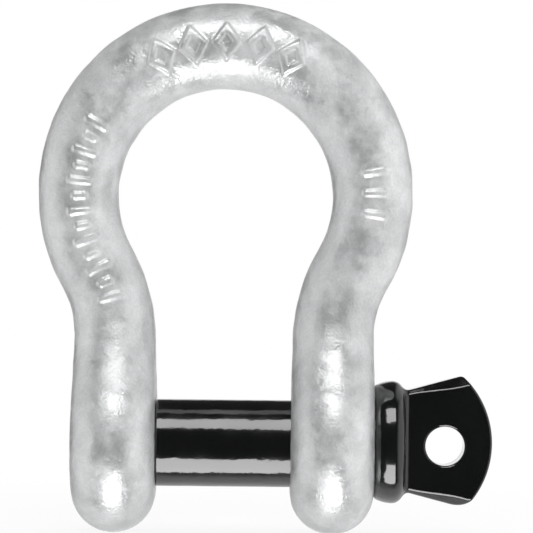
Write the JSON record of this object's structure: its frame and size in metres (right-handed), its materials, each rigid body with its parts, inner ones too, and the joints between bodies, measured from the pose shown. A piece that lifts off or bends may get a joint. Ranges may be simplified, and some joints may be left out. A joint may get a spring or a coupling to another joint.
{
  "type": "bow shackle",
  "caption": "Forged bow shackle: a wide rounded bow that ends in eyes, closed by a screw pin with a collar and a flat tab with a lanyard hole.",
  "frame": {"origin": "on the pin's axis, midway between the two eyes", "axes": "+X along the pin towards its tab, +Z towards the crown of the bow, Y across the bar"},
  "size_m": [0.0912, 0.0362, 0.1063],
  "materials": {
    "bow": "hot-dip galvanised, satin and slightly mottled",
    "pin": "gloss black enamel"
  },
  "bodies": {
    "bow": {"bow": "bow"},
    "pin_travel": {"pin_thread": "pin"},
    "pin": {"pin_shank": "pin", "pin_head": "pin"}
  },
  "joints": [
    {"name": "pin_draw", "type": "slide", "parent": "bow", "child": "pin_travel", "axis": [1, 0, 0], "range_m": [0, 0.065]},
    {"name": "pin_turn", "type": "hinge", "parent": "pin_travel", "child": "pin", "pos_m": [0, 0, 0], "axis": [1, 0, 0], "range_deg": [0, 9375]}
  ],
  "couplings": [
    {"joint": "pin_turn", "follows": "pin_draw", "rad_per_m": 2513.3}
  ]
}
